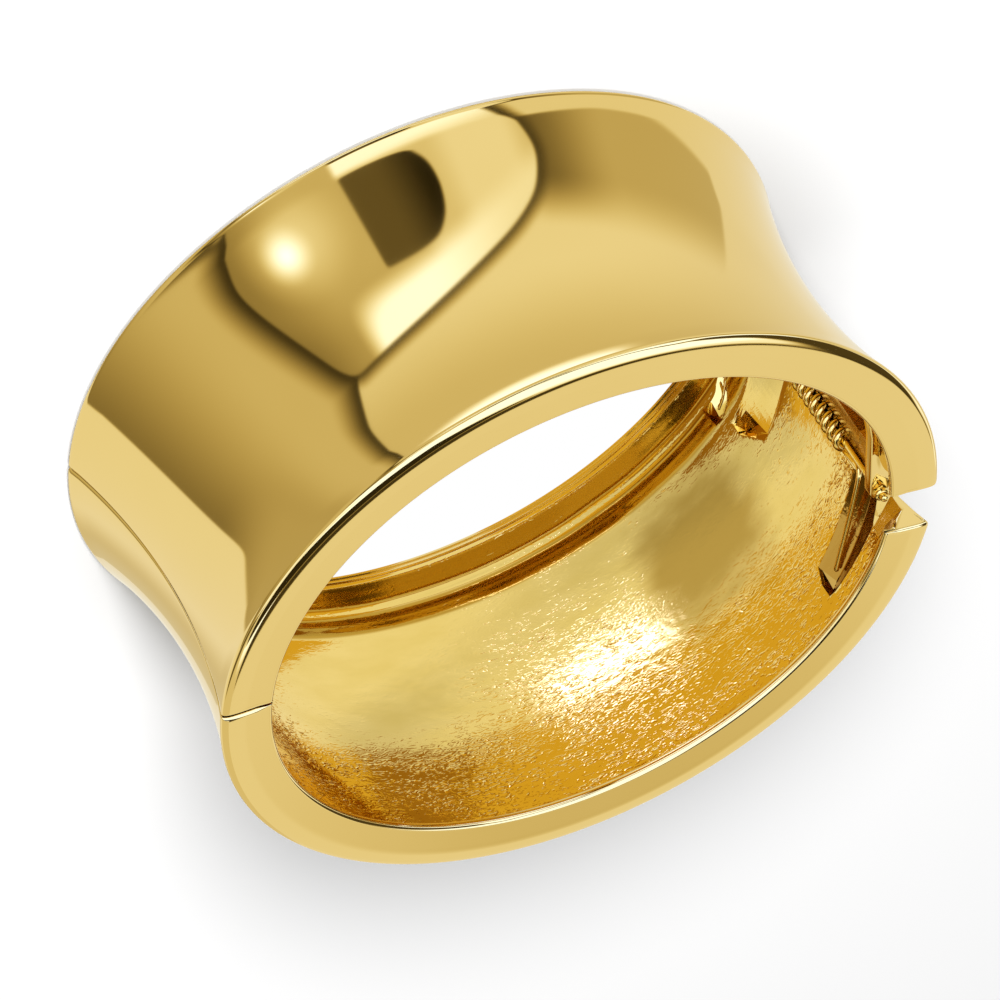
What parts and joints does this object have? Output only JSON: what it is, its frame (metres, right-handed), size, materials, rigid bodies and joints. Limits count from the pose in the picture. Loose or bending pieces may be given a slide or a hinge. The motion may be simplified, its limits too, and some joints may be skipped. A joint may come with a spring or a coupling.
{
  "type": "hinged bangle",
  "caption": "Wide oval bangle of gold-coloured metal in two hinged halves: concave polished outside, crinkled inside, flat rims and a spring hinge.",
  "frame": {"origin": "centre of the bottom rim face, with the bangle lying on its side", "axes": "+Z across the bangle's width, from the bottom rim to the top rim; +X from the seam towards the hinge; +Y towards the upper half"},
  "size_m": [0.07, 0.0614, 0.0334],
  "materials": {
    "polished_gold": "gold-plated cast metal, mirror polished outside and on the rims, crinkled cast texture inside",
    "spring_gold": "gold-plated steel wire and pin"
  },
  "bodies": {
    "lower": {"lower_half": "polished_gold", "hinge_pin": "spring_gold", "hinge_spring": "spring_gold"},
    "upper": {"upper_half": "polished_gold"}
  },
  "joints": [
    {"name": "hinge", "type": "hinge", "parent": "lower", "child": "upper", "pos_m": [0.03075, -0.0022, 0.0167], "axis": [0, 0, -1], "range_deg": [0, 50], "stiffness_Nm_per_rad": 0.3, "springref_deg": -20.05, "deforming": ["hinge_spring"]}
  ]
}
